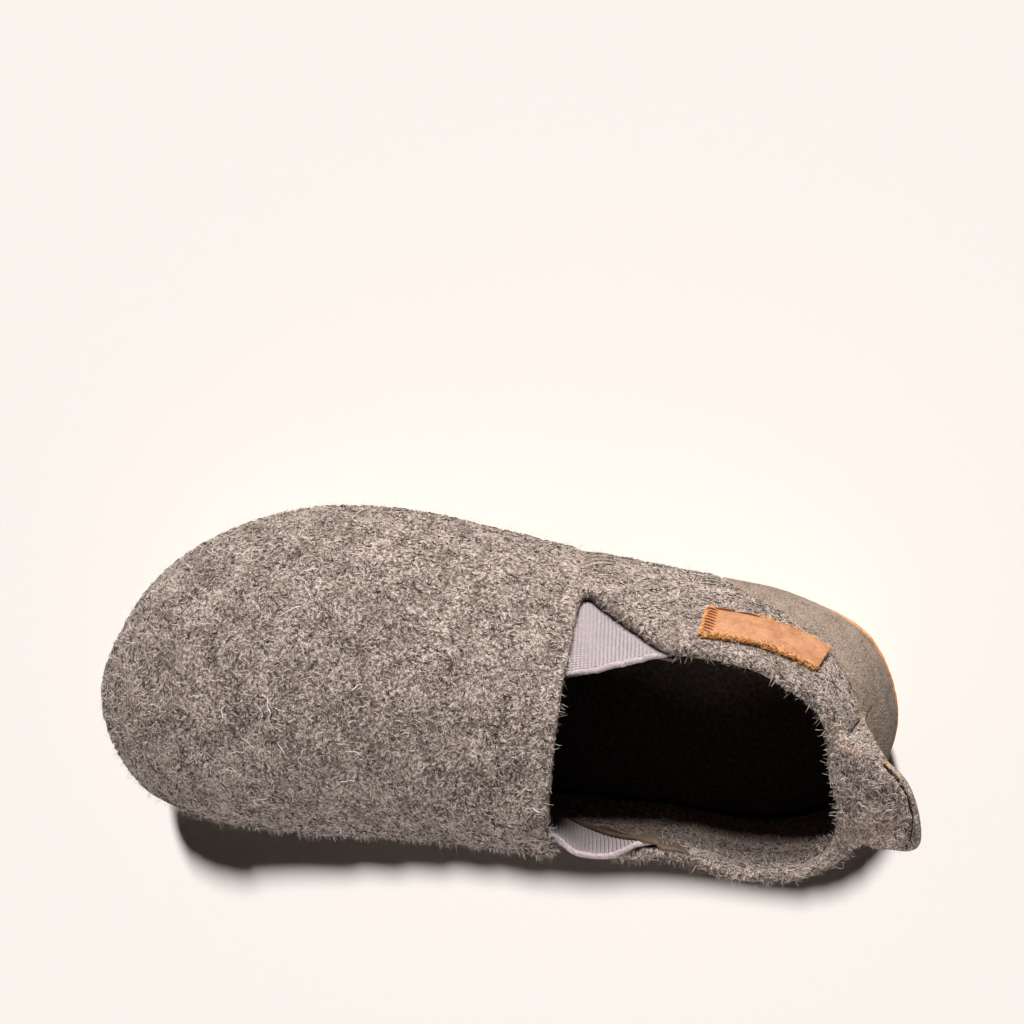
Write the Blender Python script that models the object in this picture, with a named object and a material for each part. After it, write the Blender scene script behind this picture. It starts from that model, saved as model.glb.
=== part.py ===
"""A right-foot house slipper in wool felt, with elastic gores, a suede heel counter and a thin rubber sole.

Metres, +Z up, floor at z = 0. +X points to the toe and -Y to the outer (lateral) side of the foot.
One function, felt_point(), gives the outer face of the felt. Every other piece is offset or cut from it.
"""

import math
from collections import namedtuple

import bmesh
import bpy
import numpy as np

MM = 0.001

# Driving dimensions
LENGTH = 171 * MM  # the felt's outline where it meets the sole, heel to toe
BALL_WIDTH = 68 * MM
INSTEP_HEIGHT = 60 * MM  # top of the vamp at its rear edge, above the floor
COLLAR_HEIGHT = 50 * MM
TAB_HEIGHT = 66 * MM  # top of the pull tab at the heel
FELT = 3.0 * MM  # wall of the upper
SUEDE = 1.0 * MM  # heel counter
ELASTIC = 1.2 * MM
LEATHER = 1.3 * MM  # side tag
SOLE = 3.6 * MM
INSOLE = 2.5 * MM
CLEARANCE = 0.3 * MM  # between neighbouring pieces

# The frame's origin lies on the centre line under the middle of the box, this far from the heel's back
CENTRE_X = 82.2 * MM

# Sections from heel to toe. along is a share of LENGTH, and lateral and medial are half widths as shares of
# BALL_WIDTH. full_out and full_in say how square the wall is on each side, and roll is the felt's bulge over
# the sole's edge.
Section = namedtuple("Section", "name along lateral medial full_out full_in roll")
SECTIONS = (
    Section("heel_back", 0.000, 0.000, 0.000, 1.48, 1.48, 1.0 * MM),
    Section("heel_corner", 0.045, 0.275, 0.275, 1.65, 2.30, 1.0 * MM),
    Section("heel_side", 0.150, 0.402, 0.388, 1.78, 1.88, 1.2 * MM),
    Section("quarter", 0.270, 0.430, 0.385, 1.82, 1.50, 1.6 * MM),
    Section("throat", 0.400, 0.455, 0.388, 2.00, 3.50, 2.0 * MM),
    Section("instep", 0.520, 0.488, 0.420, 2.10, 2.75, 2.2 * MM),
    Section("waist", 0.640, 0.512, 0.465, 2.15, 2.35, 2.4 * MM),
    Section("ball", 0.750, 0.490, 0.500, 2.20, 2.30, 2.4 * MM),
    Section("toe_side", 0.865, 0.375, 0.498, 2.25, 2.30, 2.4 * MM),
    Section("toe_corner", 0.955, 0.165, 0.405, 2.25, 2.30, 2.4 * MM),
    Section("toe_tip", 1.000, -0.150, 0.150, 2.25, 2.25, 2.4 * MM),
)
HALF_LOOP = len(SECTIONS) - 1
LOOP = 2 * HALF_LOOP

# The spine is the ridge over the foot. crown is its height as a share of INSTEP_HEIGHT, and offset is how far
# it lies to the medial side as a share of BALL_WIDTH. Behind the throat it only shapes the form that the
# collar is cut from.
Spine = namedtuple("Spine", "name along crown offset")
SPINE = (
    Spine("heel_pole", 0.260, 1.66, 0.000),
    Spine("collar", 0.330, 1.28, 0.020),
    Spine("throat", 0.400, 1.00, 0.040),
    Spine("instep", 0.520, 0.94, 0.055),
    Spine("waist", 0.640, 0.86, 0.060),
    Spine("toe_pole", 0.780, 0.74, 0.065),
)

# Side view of the opening: the vamp's edge is upright, and the collar runs from the gore's apex to the heel
THROAT_ALONG = 0.400
CollarPoint = namedtuple("CollarPoint", "name along height")
COLLAR = (
    CollarPoint("beyond_heel", -0.200, COLLAR_HEIGHT + 1.0 * MM),
    CollarPoint("heel", 0.080, COLLAR_HEIGHT + 1.0 * MM),
    CollarPoint("side", 0.200, COLLAR_HEIGHT),
    CollarPoint("corner_rear", 0.275, COLLAR_HEIGHT - 0.3 * MM),
    CollarPoint("corner_front", 0.295, COLLAR_HEIGHT - 3.0 * MM),
    CollarPoint("gore_apex", THROAT_ALONG, 26 * MM),
)

# Pull tab: a rounded tongue that climbs from the collar at the heel and leans back
TAB_HALF_WIDTH = 10.5 * MM
TAB_SQUARENESS = 2.6  # power of its rounded outline
TAB_SKIRT = 7.0 * MM  # width of the rise that leads up to it at each side
TAB_SKIRT_HEIGHT = 2.5 * MM
TAB_ROOT = (0.060, 0.110)  # where it begins, as shares of LENGTH
TAB_FLARE = 26 * MM
FLARE_HEIGHTS = (46 * MM, 68 * MM)
FLARE_ROWS = 1.9  # rows of the section table over which the flare dies out, on each side
LEAN_FADE = 12  # power that takes the flare away again at the top of the form, above the collar

# Sole
TOE_SPRING = 4.0 * MM
SPRING_START = 0.70
ARCH_RISE = 1.0 * MM
ARCH_SPAN = (0.28, 0.60)
SOLE_REACH = (-0.1 * MM, -0.9 * MM)  # how far its edge stands outside the felt's lower edge, at heel and toe
REACH_SPAN = (0.15, 0.45)  # where the one goes over into the other, as shares of LENGTH
SOLE_ROUND = 0.8 * MM
INSOLE_ROUND = 0.5 * MM

# Heel counter: height of its upper edge by row of the section table, counted from the heel's back. It lies in
# a recess of the felt, and within TAB_ROWS it runs up the back of the tab to the tab's own edge.
CounterEdge = namedtuple("CounterEdge", "row height")
TAB_ROWS = 0.45  # rows over which the counter runs up the tab, on each side
COUNTER_EDGE = (
    CounterEdge(0.57, 34 * MM),
    CounterEdge(1.00, 33 * MM),
    CounterEdge(1.35, 30 * MM),
    CounterEdge(1.75, 25 * MM),
    CounterEdge(2.20, 20 * MM),
    CounterEdge(2.55, 14 * MM),
    CounterEdge(2.75, 7 * MM),
)
COUNTER_SUNK = 0.4 * MM  # the suede's face below the felt's face
COUNTER_STEPS = (8, 16, 4, 8)  # on the tab and beside it, on each side, then below and above the tab's bend
RECESS_OVERRUN = 6 * MM  # how far the recess runs past the tab's top

# Elastic gores, sewn inside the felt. Where they show, the lateral one is pulled straight and the medial one
# bows out.
GORE_MARGIN = 5.0 * MM
GORE_TOP = (47.4 * MM, 46.5 * MM)  # at the quarter's corner and at the vamp's edge
GORE_BOW = (-1.2 * MM, 2.4 * MM)  # outwards from the wall's own curve, lateral and medial
GORE_EASE = 6.0 * MM  # distance from the felt's edges over which the bow builds up
GORE_STEPS = (16, 8)

# Side tag on the lateral quarter: its two ends, by row of the section table and by heights of its long edges
TagEnd = namedtuple("TagEnd", "row low high")
TAG_FRONT = TagEnd(2.78, 33.5 * MM, 46.0 * MM)
TAG_REAR = TagEnd(1.45, 31.0 * MM, 42.5 * MM)
TAG_STEPS = (14, 4)

# Lower half of a layer under the foot, from the middle of its underside out round its edge. share is the
# share of the way to the edge's rounding, and ease and rounds count roundings outward and upward.
LayerStep = namedtuple("LayerStep", "share ease rounds")
LOWER_HALF = (
    LayerStep(0.00, 0.0, 0.0),
    LayerStep(0.45, 0.0, 0.0),
    LayerStep(0.85, 0.0, 0.0),
    LayerStep(1.00, 0.0, 0.0),
    LayerStep(1.00, 0.7, 0.3),
    LayerStep(1.00, 1.0, 1.0),
)

# Steps of the felt's profile at the heel: most of them lie where the tab bends back
HeelStep = namedtuple("HeelStep", "share rise")
HEEL_STEPS = (HeelStep(0.0, 0.0), HeelStep(0.25, 0.38), HeelStep(0.80, 0.70), HeelStep(1.0, 1.0))
HEEL_ROWS = (2.0, 4.0)  # rows from the heel's back over which these give way to the steps over the foot

STATIONS_PER_ROW = 4
PROFILE_STEPS = 18
OUTLINE_SAMPLES = 400
WELD = 0.001 * MM
SHARP_ANGLE = math.radians(40)
HALVINGS = 30
ROW_LENGTH = 20 * MM  # one row of the section table along the quarter
CUTTER_TOP = 130 * MM
CUTTER_HALF_WIDTH = 48 * MM
CUTTER_REACH = 6 * MM  # how far a recess cutter stands outside the felt
CUTTER_STEPS = 7

# Look of each piece: linear colour and roughness
Look = namedtuple("Look", "colour roughness")
FELT_LOOK = Look((0.300, 0.245, 0.218), 0.95)
SUEDE_LOOK = Look((0.405, 0.320, 0.262), 0.90)
ELASTIC_LOOK = Look((0.540, 0.456, 0.450), 0.80)
LEATHER_LOOK = Look((0.745, 0.371, 0.188), 0.75)
RUBBER_LOOK = Look((0.440, 0.270, 0.140), 0.60)
INSOLE_LOOK = Look((0.045, 0.038, 0.034), 0.95)

LATERAL, MEDIAL = -1, 1


def smooth(t):
    t = np.clip(t, 0.0, 1.0)
    return t * t * (3.0 - 2.0 * t)


def curve_through(values, index):
    """Catmull-Rom curve through the rows of values. index counts rows, and wraps round."""
    low = np.floor(index).astype(int)
    t = (index - low)[..., None]
    before, start, end, after = (np.take(values, low + k, axis=0, mode="wrap") for k in (-1, 0, 1, 2))
    return 0.5 * (
        2 * start
        + (end - before) * t
        + (2 * before - 5 * start + 4 * end - after) * t**2
        + (3 * start - before - 3 * end + after) * t**3
    )


def section_loop():
    """The section table as one closed loop: the lateral side to the toe, then the medial side to the heel."""
    lateral = [(s.along * LENGTH, -s.lateral * BALL_WIDTH, s.full_out, s.roll) for s in SECTIONS]
    medial = [(s.along * LENGTH, s.medial * BALL_WIDTH, s.full_in, s.roll) for s in SECTIONS]
    return np.array(lateral + medial[-2:0:-1])


SECTION_LOOP = section_loop()
SPINE_ALONG = np.array([s.along * LENGTH for s in SPINE])
SPINE_SHAPE = np.array([(s.crown * INSTEP_HEIGHT, s.offset * BALL_WIDTH) for s in SPINE])
TOE_SLOPE = (SPINE_SHAPE[-2, 0] - SPINE_SHAPE[-1, 0]) / (SPINE_ALONG[-1] - SPINE_ALONG[-2])


def spine_at(x):
    """Height and y of the spine at x, between its two ends."""
    row = np.interp(x, SPINE_ALONG, np.arange(len(SPINE)))
    past_toe = 2 * SPINE_SHAPE[-1:] - SPINE_SHAPE[-2:-1]
    past_heel = 2 * SPINE_SHAPE[:1] - SPINE_SHAPE[1:2]
    return np.moveaxis(curve_through(np.vstack([SPINE_SHAPE, past_toe, past_heel]), row), -1, 0)


def outline_at(row):
    """x, y, fullness and roll of the section loop at a row."""
    return np.moveaxis(curve_through(SECTION_LOOP, np.asarray(row, float)), -1, 0)


def pole_at(x):
    """x of the spine point that a section at x leans towards."""
    return np.clip(x, SPINE_ALONG[0], SPINE_ALONG[-1])


def row_at(x, side):
    """Row of the section loop where one side's outline is x from the heel's back."""
    rows = np.linspace(1.0, HALF_LOOP - 1.0, OUTLINE_SAMPLES)
    row = np.interp(x, outline_at(rows)[0], rows)
    return row if side == LATERAL else LOOP - row


def rows_from_heel(row):
    return np.minimum(row % LOOP, LOOP - row % LOOP)


def sole_bottom(x):
    """Height of the sole's underside: flat at heel and ball, with a low arch between and the toe's spring."""
    share = x / LENGTH
    start, end = ARCH_SPAN
    arch = ARCH_RISE * np.sin(math.pi * np.clip((share - start) / (end - start), 0, 1)) ** 2
    spring = TOE_SPRING * np.maximum((share - SPRING_START) / (1 - SPRING_START), 0) ** 2
    return arch + spring


def feather(x):
    """Height of the felt's lower edge, just above the sole."""
    return sole_bottom(x) + SOLE + CLEARANCE


def flare(row, z):
    """How far the tab leans back at a height, and how much that slope thickens a level cut of the wall."""
    low, high = FLARE_HEIGHTS
    t = np.clip((z - low) / (high - low), 0, 1)
    amount = TAB_FLARE * (1.0 - smooth(rows_from_heel(row) / FLARE_ROWS))
    slope = amount * 6 * t * (1 - t) / (high - low)
    return amount * smooth(t), np.sqrt(1 + slope**2)


def felt_point(row, rise, inset=0.0):
    """Point of the felt at a row and a share (0 to 1) of the spine's height, inset from the outer face."""
    row, rise = np.broadcast_arrays(np.asarray(row, float), np.asarray(rise, float))
    x, y, full, roll = outline_at(row)
    pole = pole_at(x)
    crown, ridge = spine_at(pole)
    low = feather(x)
    z = low + (crown - inset - low) * rise
    lean, thicken = flare(row, z)
    reach = np.hypot(x - pole, y - ridge)
    out = (reach - inset * thicken) * np.maximum(1.0 - rise**full, 0) ** (1.0 / full)
    out = out + roll * np.sin(math.pi * np.sqrt(rise)) + lean * (1.0 - rise**LEAN_FADE)
    forward = (x - pole) / reach * out
    z = z - TOE_SLOPE * np.maximum(forward, 0) * rise
    return np.stack([pole + forward, ridge + (y - ridge) / reach * out, z], axis=-1)


def felt_at_height(row, z, inset=0.0):
    """The same behind the ball, by height over the floor. Under the felt's edge it goes straight down."""
    x = outline_at(row)[0]
    crown = spine_at(pole_at(x))[0]
    low = feather(x)
    point = felt_point(row, np.clip((z - low) / (crown - inset - low), 0, 1), inset)
    point[..., 2] = z
    return point


def collar_edge(x):
    """Height of the opening's edge in side view, without the tab. Past the vamp's edge it stays level."""
    return np.interp(x, [c.along * LENGTH for c in COLLAR], [c.height for c in COLLAR])


def collar_height(x, y):
    """Height of the opening's edge over a point of the plan, with the pull tab."""
    edge = collar_edge(x)
    skirt = TAB_SKIRT_HEIGHT * smooth((TAB_HALF_WIDTH + TAB_SKIRT - np.abs(y)) / TAB_SKIRT)
    across = np.minimum(np.abs(y) / TAB_HALF_WIDTH, 1)
    tongue = (1 - across**TAB_SQUARENESS) ** (1 / TAB_SQUARENESS)
    start, end = (share * LENGTH for share in TAB_ROOT)
    climb = skirt + (TAB_HEIGHT - TAB_SKIRT_HEIGHT - edge) * tongue
    return edge + climb * smooth((end - x) / (end - start))


def loop_rows():
    return np.arange(LOOP * STATIONS_PER_ROW) / STATIONS_PER_ROW


def add_grid(bm, points, wrap, flip):
    """Triangles over a grid of points. wrap joins the last station to the first, and flip turns them over.

    The diagonals run the same way in every grid, so the faces of nested walls stay parallel.
    """
    verts = [[bm.verts.new(point) for point in station] for station in points]
    last = len(verts) if wrap else len(verts) - 1
    for i in range(last):
        here, there = verts[i], verts[(i + 1) % len(verts)]
        for j in range(len(here) - 1):
            for corners in ((here[j], there[j], there[j + 1]), (here[j], there[j + 1], here[j + 1])):
                bm.faces.new(corners[::-1] if flip else corners)
    return verts


def add_rim(bm, outer, inner, wrap):
    """Quads between two rows of vertices, one on each face of a wall."""
    last = len(outer) if wrap else len(outer) - 1
    for i in range(last):
        k = (i + 1) % len(outer)
        bm.faces.new([outer[k], outer[i], inner[i], inner[k]])


def finish_mesh(name, bm):
    """Weld the grid's seams, turn every face outward and make a smooth-shaded mesh of it."""
    bmesh.ops.remove_doubles(bm, verts=bm.verts, dist=WELD)
    bmesh.ops.recalc_face_normals(bm, faces=bm.faces)
    mesh = bpy.data.meshes.new(name)
    bm.to_mesh(mesh)
    bm.free()
    mesh.shade_smooth()
    mesh.set_sharp_from_angle(angle=SHARP_ANGLE)
    return mesh


def wall_mesh(name, outer, inner):
    """A closed patch of wall between two grids: both faces and the rim round their four sides."""
    bm = bmesh.new()
    a = add_grid(bm, outer, wrap=False, flip=False)
    b = add_grid(bm, inner, wrap=False, flip=True)
    for edge_a, edge_b in ((a[0], b[0]), (a[-1], b[-1])):
        add_rim(bm, edge_a, edge_b, wrap=False)
    for j in (0, -1):
        add_rim(bm, [station[j] for station in a], [station[j] for station in b], wrap=False)
    return finish_mesh(name, bm)


def upper_mesh():
    """The felt form as a hollow shell: outer face, inner face and the flat rim that stands on the sole."""
    rows = loop_rows()[:, None]
    share = np.linspace(0, 1, PROFILE_STEPS)
    over_foot = np.sin(share * math.pi / 2)
    at_heel = np.interp(share, [step.share for step in HEEL_STEPS], [step.rise for step in HEEL_STEPS])
    start, end = HEEL_ROWS
    rise = at_heel + (over_foot - at_heel) * smooth((rows_from_heel(rows) - start) / (end - start))
    bm = bmesh.new()
    outer = add_grid(bm, felt_point(rows, rise), wrap=True, flip=False)
    inner = add_grid(bm, felt_point(rows, rise, FELT), wrap=True, flip=True)
    add_rim(bm, [station[0] for station in outer], [station[0] for station in inner], wrap=True)
    return finish_mesh("upper", bm)


def layer_mesh(name, offset, bottom, thickness, rounding):
    """A layer under the foot: the felt's outline moved out by one offset or one a station, edge rounded."""
    x, y, _, _ = outline_at(loop_rows())
    pole = pole_at(x)
    ridge = spine_at(pole)[1]
    reach = np.hypot(x - pole, y - ridge)
    under, over = [], []
    for step in LOWER_HALF:
        out = step.share * (reach + offset - rounding) + step.ease * rounding
        across = pole + (x - pole) / reach * out
        along = ridge + (y - ridge) / reach * out
        low = bottom(across)
        under.append(np.stack([across, along, low + step.rounds * rounding], axis=-1))
        over.append(np.stack([across, along, low + thickness - step.rounds * rounding], axis=-1))
    bm = bmesh.new()
    add_grid(bm, np.stack(under + over[::-1], axis=1), wrap=True, flip=False)
    return finish_mesh(name, bm)


def collar_cutter_mesh():
    """Everything above the opening's edge, behind the vamp."""
    tongue = TAB_HALF_WIDTH * np.sin(np.linspace(0, math.pi / 2, CUTTER_STEPS))
    skirt = TAB_HALF_WIDTH + TAB_SKIRT * np.linspace(0, 1, CUTTER_STEPS)
    half = np.concatenate([tongue, skirt, [CUTTER_HALF_WIDTH]])
    ys = np.unique(np.concatenate([-half, half]))
    tab_root = np.linspace(*TAB_ROOT, CUTTER_STEPS)
    xs = np.unique(np.concatenate([[c.along for c in COLLAR], tab_root])) * LENGTH
    x, y = np.meshgrid(xs, ys, indexing="ij")
    low = np.stack([x, y, collar_height(x, y)], axis=-1)
    high = np.stack([x, y, np.full_like(x, CUTTER_TOP)], axis=-1)
    return wall_mesh("collar_cutter", high, low)


def wall_top(row):
    """Height at which the opening's edge crosses the felt's outer face on a row, found by halving."""
    low, high = np.full_like(row, SOLE), np.full_like(row, TAB_HEIGHT + CLEARANCE)
    for _ in range(HALVINGS):
        middle = (low + high) / 2
        point = felt_at_height(row, middle)
        above = middle > collar_height(point[..., 0], point[..., 1])
        low, high = np.where(above, low, middle), np.where(above, middle, high)
    return low


def counter_lattice():
    """Rows and heights of the heel counter's own grid."""
    on_tab, beside, below, above = COUNTER_STEPS
    bend = FLARE_HEIGHTS[0] / TAB_HEIGHT
    first, last = COUNTER_EDGE[0].row, COUNTER_EDGE[-1].row
    half = np.concatenate([np.linspace(0, TAB_ROWS, on_tab), np.linspace(first, last, beside)])
    rows = np.concatenate([-half[:0:-1], half])[:, None]
    edge = np.interp(np.abs(rows), [e.row for e in COUNTER_EDGE], [e.height for e in COUNTER_EDGE])
    top = np.where(np.abs(rows) > TAB_ROWS, edge, wall_top(rows))
    low = feather(outline_at(rows)[0])
    up = np.concatenate([np.linspace(0, bend, below)[:-1], np.linspace(bend, 1, above)])
    return rows, low + (top - low) * up


def recess_lattice():
    """The same grid with a margin all round, which runs out over the tab's top and under the felt's edge."""
    rows, z = counter_lattice()
    end = rows[-1:] + CLEARANCE / ROW_LENGTH
    rows = np.vstack([-end, rows, end])
    z = np.pad(z, ((1, 1), (0, 0)), mode="edge")
    over = np.where(np.abs(rows) > TAB_ROWS, CLEARANCE, RECESS_OVERRUN)
    return rows, np.hstack([z[:, :1] - CLEARANCE, z, z[:, -1:] + over])


def gore_grid(side, inset):
    """Face of one elastic gore at a depth in the felt, with its margins under the vamp and the quarter."""
    corner = COLLAR[-2].along * LENGTH
    throat = THROAT_ALONG * LENGTH
    x = np.linspace(corner - GORE_MARGIN, throat + GORE_MARGIN, GORE_STEPS[0])[:, None]
    up = np.linspace(0, 1, GORE_STEPS[1])[None, :]
    low = collar_edge(x) - GORE_MARGIN
    z = low + (np.interp(x, (corner, throat), GORE_TOP) - low) * up
    share = smooth((throat - x) / GORE_EASE) * smooth((z - collar_edge(x)) / GORE_EASE)
    bow = GORE_BOW[0 if side == LATERAL else 1] * share
    return felt_at_height(row_at(x, side), z, inset - bow)


def tag_grid(inset):
    """Face of the side tag at a depth from the felt's outer face. Depths outside the felt are negative."""
    along = np.linspace(0, 1, TAG_STEPS[0])[:, None]
    up = np.linspace(0, 1, TAG_STEPS[1])[None, :]
    row = TAG_FRONT.row + (TAG_REAR.row - TAG_FRONT.row) * along
    low = TAG_FRONT.low + (TAG_REAR.low - TAG_FRONT.low) * along
    high = TAG_FRONT.high + (TAG_REAR.high - TAG_FRONT.high) * along
    return felt_at_height(row, low + (high - low) * up, inset)


def new_collection(name):
    collection = bpy.data.collections.new(name)
    bpy.context.scene.collection.children.link(collection)
    return collection


def place(mesh, collection, look=None):
    """An object for a mesh, moved from the heel's back to the object's frame. Cutters have no look."""
    obj = bpy.data.objects.new(mesh.name, mesh)
    obj.location.x = -CENTRE_X
    collection.objects.link(obj)
    if look is None:
        obj.hide_render = True
        obj.display_type = "WIRE"
        return obj
    material = bpy.data.materials.new(mesh.name)
    material.use_nodes = True
    shader = material.node_tree.nodes["Principled BSDF"]
    shader.inputs["Base Color"].default_value = (*look.colour, 1.0)
    shader.inputs["Roughness"].default_value = look.roughness
    mesh.materials.append(material)
    return obj


def cut(obj, cutter):
    modifier = obj.modifiers.new(cutter.name, "BOOLEAN")
    modifier.operation = "DIFFERENCE"
    modifier.solver = "EXACT"
    modifier.object = cutter


def main():
    for obj in list(bpy.data.objects):
        bpy.data.objects.remove(obj, do_unlink=True)
    parts = new_collection("wool_slipper")
    cutters = new_collection("cutters")

    collar_cutter = place(collar_cutter_mesh(), cutters)
    recess = COUNTER_SUNK + SUEDE + CLEARANCE
    recess_faces = [felt_at_height(*recess_lattice(), inset) for inset in (-CUTTER_REACH, recess)]
    recess_cutter = place(wall_mesh("counter_recess", *recess_faces), cutters)

    upper = place(upper_mesh(), parts, FELT_LOOK)
    cut(upper, collar_cutter)
    cut(upper, recess_cutter)

    counter_faces = [felt_at_height(*counter_lattice(), COUNTER_SUNK + depth) for depth in (0.0, SUEDE)]
    place(wall_mesh("heel_counter", *counter_faces), parts, SUEDE_LOOK)

    for name, side in (("gore_lateral", LATERAL), ("gore_medial", MEDIAL)):
        faces = [gore_grid(side, FELT + CLEARANCE + depth) for depth in (0.0, ELASTIC)]
        place(wall_mesh(name, *faces), parts, ELASTIC_LOOK)

    tag_faces = [tag_grid(-CLEARANCE - height) for height in (LEATHER, 0.0)]
    place(wall_mesh("side_tag", *tag_faces), parts, LEATHER_LOOK)

    reach = np.interp(outline_at(loop_rows())[0] / LENGTH, REACH_SPAN, SOLE_REACH)
    place(layer_mesh("outsole", reach, sole_bottom, SOLE, SOLE_ROUND), parts, RUBBER_LOOK)
    inset = -(FELT + CLEARANCE)
    place(layer_mesh("insole", inset, feather, INSOLE, INSOLE_ROUND), parts, INSOLE_LOOK)


if __name__ == "__main__":
    main()
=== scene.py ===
# %% [markdown]
# # Dressing a child's wool felt slipper
# The CAD frame holds the slipper as plain solids: a felt shell, a suede heel counter, two elastic gores,
# a leather tag, a rubber sole and an insole. This lesson turns each solid into the stuff it is cut from.
# Every piece starts from its solid, so the slipper keeps its last and its size, and only the surface
# changes: loose wool, nap, ribs, raw edges and thread.

import math

import bmesh
import bpy
import numpy as np
from mathutils import Matrix, Vector, noise
from mathutils.bvhtree import BVHTree
from mathutils.kdtree import KDTree


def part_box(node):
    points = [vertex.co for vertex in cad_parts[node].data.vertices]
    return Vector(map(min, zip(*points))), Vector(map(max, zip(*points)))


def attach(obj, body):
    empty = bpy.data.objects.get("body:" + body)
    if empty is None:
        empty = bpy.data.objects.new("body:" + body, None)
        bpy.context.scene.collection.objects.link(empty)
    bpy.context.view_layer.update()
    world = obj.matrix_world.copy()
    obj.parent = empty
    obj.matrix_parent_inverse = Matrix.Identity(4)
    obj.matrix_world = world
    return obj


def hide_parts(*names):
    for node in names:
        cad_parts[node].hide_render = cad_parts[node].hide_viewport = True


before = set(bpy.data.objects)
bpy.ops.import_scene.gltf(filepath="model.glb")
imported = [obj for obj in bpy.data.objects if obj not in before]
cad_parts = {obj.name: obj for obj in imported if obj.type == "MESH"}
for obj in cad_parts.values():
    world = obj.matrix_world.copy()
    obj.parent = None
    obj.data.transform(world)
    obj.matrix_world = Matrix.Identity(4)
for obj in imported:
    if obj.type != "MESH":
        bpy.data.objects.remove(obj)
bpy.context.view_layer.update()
MM = 0.001
print("solids:", ", ".join(sorted(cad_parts)))

# %% [markdown]
# ## The camera
# The photograph looks almost straight down, leaning a little to the outer side and to the heel, and the
# picture is rolled so that the toe points left. A camera could be aimed with a constraint, but its three
# axes are easy to write down: one looks back along the line of sight, one points to the outer side of the
# foot, and the last is square to both. A long lens keeps toe and heel at one scale. One known point of
# the heel pins the picture in place.

# %% Camera
LEAN_OUT = math.radians(14.5)
LEAN_HEEL = math.radians(6.5)
ROLL = math.radians(5.0)
DISTANCE = 1.0
LENS_PIXELS = 4620
PICTURE_PIXELS = 1024
HEEL_POINT = Vector((-55.7, 0, 2)) * MM
HEEL_PIXEL = (777, 710)

back = Vector((-math.tan(LEAN_HEEL), -math.tan(LEAN_OUT), 1)).normalized()
outward = Vector((0, -1, 0))
outward = (outward - outward.dot(back) * back).normalized()
to_toe = back.cross(outward)
right = math.sin(ROLL) * outward - math.cos(ROLL) * to_toe
up = math.cos(ROLL) * outward + math.sin(ROLL) * to_toe
off_right = (HEEL_PIXEL[0] - PICTURE_PIXELS / 2) / LENS_PIXELS * DISTANCE
off_down = (HEEL_PIXEL[1] - PICTURE_PIXELS / 2) / LENS_PIXELS * DISTANCE
eye = HEEL_POINT + DISTANCE * back - off_right * right + off_down * up

lens = bpy.data.cameras.new("camera")
lens.sensor_width = 36
lens.lens = LENS_PIXELS / PICTURE_PIXELS * lens.sensor_width
lens.clip_start = 0.01
camera = bpy.data.objects.new("camera", lens)
camera.matrix_world = Matrix((right, up, back)).transposed().to_4x4()
camera.location = eye
bpy.context.scene.collection.objects.link(camera)
bpy.context.scene.camera = camera
print("camera at", [round(c, 3) for c in eye], "with a lens of", round(lens.lens), "mm")

# %% [markdown]
# ## Node trees in few words
# Materials and Geometry Nodes are both trees of nodes. Writing every node, setting and link on its own
# line would bury the idea of each tree, so one helper adds a node: a value goes onto its socket, and
# another node's output is linked to it. A second helper does a sum, a third turns a screen's colour into
# Blender's, and the last makes a material with the shader's plain values set.

# %% Helpers for node trees
def node(tree, kind, inputs=None, **settings):
    """Add a node; inputs maps a socket to a value or to another node's output."""
    made = tree.nodes.new(kind)
    for name, value in settings.items():
        setattr(made, name, value)
    for socket, value in (inputs or {}).items():
        if isinstance(value, bpy.types.NodeSocket):
            tree.links.new(value, made.inputs[socket])
        else:
            made.inputs[socket].default_value = value
    return made


def reckon(tree, operation, *values):
    """The result of a Math node on numbers or sockets."""
    return node(tree, "ShaderNodeMath", dict(enumerate(values)), operation=operation).outputs[0]


def paint(red, green, blue):
    """A colour as read off a screen, from 0 to 255, as Blender's linear colour."""
    shares = (red / 255, green / 255, blue / 255)
    return (*(s / 12.92 if s < 0.04045 else ((s + 0.055) / 1.055) ** 2.4 for s in shares), 1.0)


def new_material(name, roughness, specular):
    """A material and its Principled shader, with plain values on the shader's own sockets."""
    material = bpy.data.materials.new(name)
    material.use_nodes = True
    shader = material.node_tree.nodes["Principled BSDF"]
    shader.inputs["Roughness"].default_value = roughness
    shader.inputs["Specular IOR Level"].default_value = specular
    return material, shader


# %% [markdown]
# ## Floor and light
# The slipper stands on seamless cream paper. Photographers of goods light the backdrop apart to make it
# white, and light linking does the same here. One sun lamp lights the paper alone, evenly all over, and
# only the insole may shade it: the shadow stays a narrow dark band along the inner side, as in the
# photograph, where a high upper would throw a long one. A second sun, low on the outer side, lights the
# slipper alone, because its outer side is the brightest. A wide side lamp helps it, and a fill lamp keeps
# the inner side from going black. The sky that the camera sees past the paper's edge has the paper's own
# colour, so that low views have no hard horizon.

# %% Floor, lamps and sky
PAPER = paint(252, 245, 239)
PAPER_SIDE = 8.0
PAPER_ALBEDO = paint(244, 238, 233)
PAPER_WAY = Vector((-1.1, 3.4, -1.0))
PAPER_STRENGTH = 12.2
PAPER_SPREAD = math.radians(4.5)
KEY_WAY = Vector((-0.1, 1.5, -1.0))
KEY_STRENGTH = 2.5
KEY_SPREAD = math.radians(9)
SIDE_PLACE = Vector((-0.1, -1.5, 0.25))
SIDE_WATTS = 66.0
FILL_PLACE = Vector((0.35, 1.0, 0.95))
FILL_WATTS = 26.0
LAMP_SIDE = 0.9
SKY_STRENGTH = 0.015

bpy.context.scene.view_settings.view_transform = "Standard"

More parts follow.
